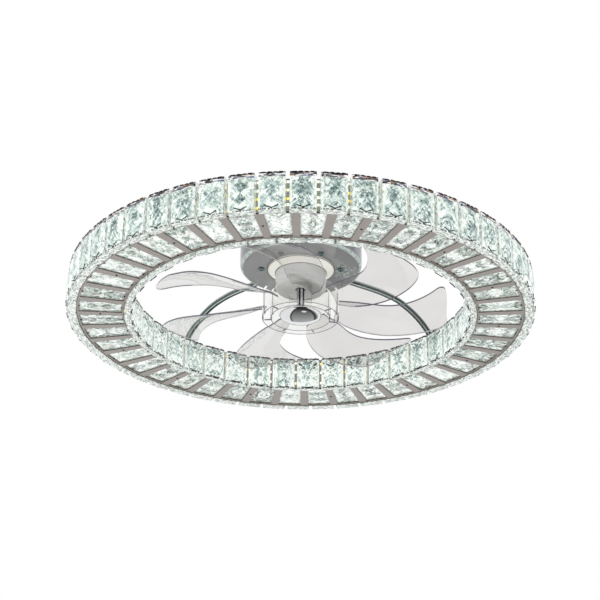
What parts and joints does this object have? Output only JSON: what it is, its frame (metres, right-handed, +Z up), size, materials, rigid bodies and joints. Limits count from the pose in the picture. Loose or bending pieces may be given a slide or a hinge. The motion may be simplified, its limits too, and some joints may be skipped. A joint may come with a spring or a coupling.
{
  "type": "crystal ceiling fan",
  "caption": "Low ceiling fan and light: clear blades spin inside a ring of cut crystals, which curved arms hang from a chrome canopy.",
  "frame": {"origin": "centre of the ceiling plate's upper face, on the fan's axis, where the fan meets the ceiling", "axes": "+Z points up into the ceiling along the fan's axis, +X points to the right in the picture and +Y away from the camera"},
  "size_m": [0.5, 0.5, 0.1335],
  "materials": {
    "chrome_plate": "polished",
    "zinc_sheet": "satin",
    "ring_steel": "satin, warm grey",
    "outer_crystal": "cut and polished",
    "inner_crystal": "cut and polished",
    "window_crystal": "cut and polished",
    "light_board": "matte board with lamps",
    "clear_acrylic": "clear, moulded",
    "motor_paint": "satin white",
    "cream_plastic": "moulded",
    "white_plastic": "moulded",
    "dark_steel": "dark, ground",
    "bearing_steel": "ground",
    "lead_sleeve": "soft sleeve"
  },
  "bodies": {
    "fixed_frame": {"ceiling_plate": "zinc_sheet", "chassis_plate": "zinc_sheet", "chassis_pillar_1": "zinc_sheet", "chassis_pillar_2": "zinc_sheet", "chassis_pillar_3": "zinc_sheet", "canopy_shell": "chrome_plate", "canopy_screw_1": "chrome_plate", "canopy_screw_2": "chrome_plate", "canopy_screw_3": "chrome_plate", "canopy_screw_4": "chrome_plate", "canopy_screw_5": "chrome_plate", "canopy_screw_6": "chrome_plate", "light_driver": "white_plastic", "fan_controller": "white_plastic", "terminal_block": "cream_plastic", "motor_lead": "lead_sleeve", "motor_housing": "motor_paint", "motor_lid": "zinc_sheet", "motor_collar": "cream_plastic", "stator": "dark_steel", "lower_bearing": "bearing_steel", "upper_bearing": "bearing_steel", "arm_1": "chrome_plate", "arm_2": "chrome_plate", "arm_3": "chrome_plate", "arm_4": "chrome_plate", "arm_nut_1": "zinc_sheet", "arm_nut_2": "zinc_sheet", "arm_nut_3": "zinc_sheet", "arm_nut_4": "zinc_sheet", "ring_plate": "ring_steel", "ring_lid": "ring_steel", "outer_light_band": "light_board", "inner_light_band": "light_board", "window_light_board": "light_board", "outer_crystals_1": "outer_crystal", "outer_crystals_2": "outer_crystal", "outer_crystals_3": "outer_crystal", "outer_crystals_4": "outer_crystal", "inner_crystals_1": "inner_crystal", "inner_crystals_2": "inner_crystal", "inner_crystals_3": "inner_crystal", "inner_crystals_4": "inner_crystal", "window_crystals_1": "window_crystal", "window_crystals_2": "window_crystal", "window_crystals_3": "window_crystal"},
    "rotor": {"motor_shaft": "dark_steel", "rotor_magnet": "dark_steel", "blade_hub": "clear_acrylic", "blade_1": "clear_acrylic", "blade_2": "clear_acrylic", "blade_3": "clear_acrylic", "blade_4": "clear_acrylic", "blade_5": "clear_acrylic", "blade_6": "clear_acrylic", "blade_7": "clear_acrylic", "hub_nut": "zinc_sheet", "dome_cap": "chrome_plate"}
  },
  "joints": [
    {"name": "fan_spin", "type": "hinge", "parent": "fixed_frame", "child": "rotor", "pos_m": [0, 0, -0.131], "axis": [0, 0, 1], "continuous": true}
  ]
}
